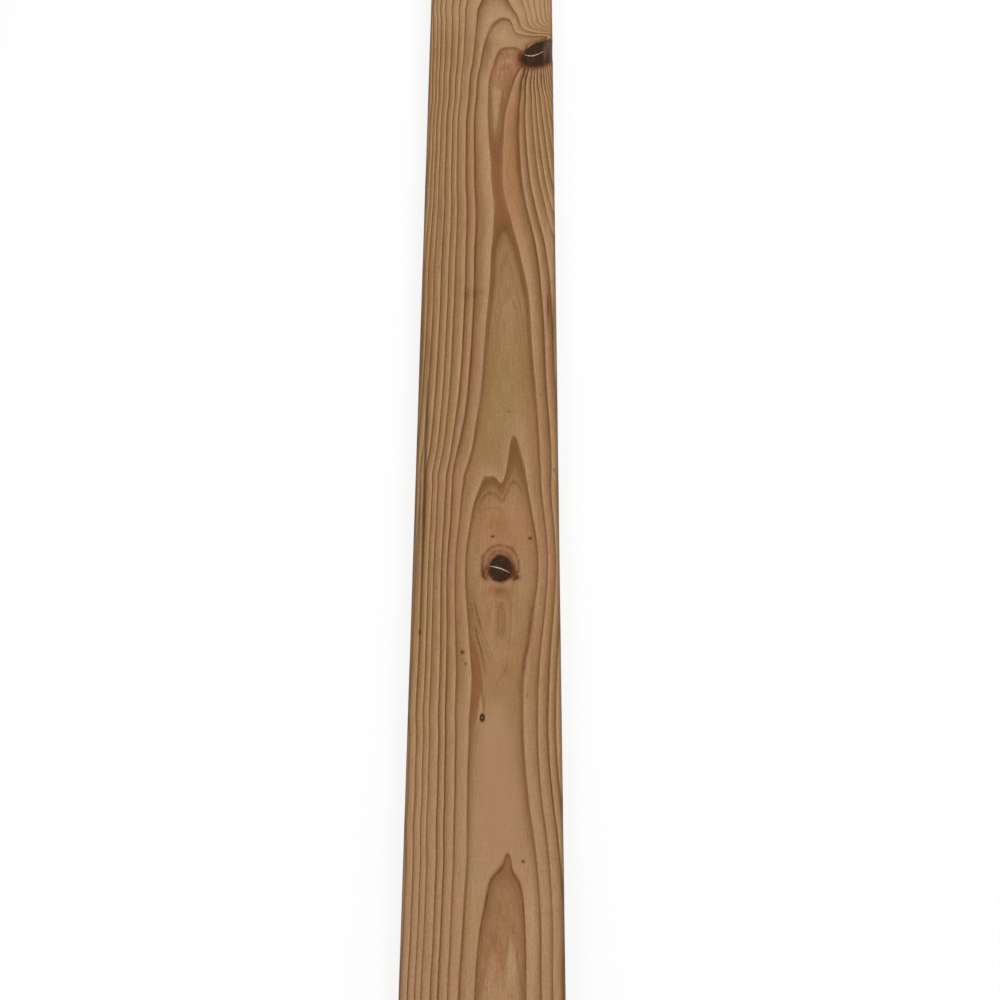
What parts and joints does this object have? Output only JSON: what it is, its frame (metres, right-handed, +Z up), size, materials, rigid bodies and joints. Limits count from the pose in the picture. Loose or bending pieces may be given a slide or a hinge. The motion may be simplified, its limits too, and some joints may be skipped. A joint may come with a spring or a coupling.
{
  "type": "timber plank",
  "caption": "Planed softwood plank with eased long edges and square-cut ends, flat-sawn with knots; general building stock for decking, cladding and shelving.",
  "frame": {"origin": "middle of the underside, on the floor that the plank lies on", "axes": "+X across the board, +Y along the grain, +Z up out of the shown face"},
  "size_m": [0.145, 1.8, 0.028],
  "materials": {
    "planed_softwood": "planed, unfinished"
  },
  "bodies": {
    "root": {"plank": "planed_softwood"}
  },
  "joints": []
}
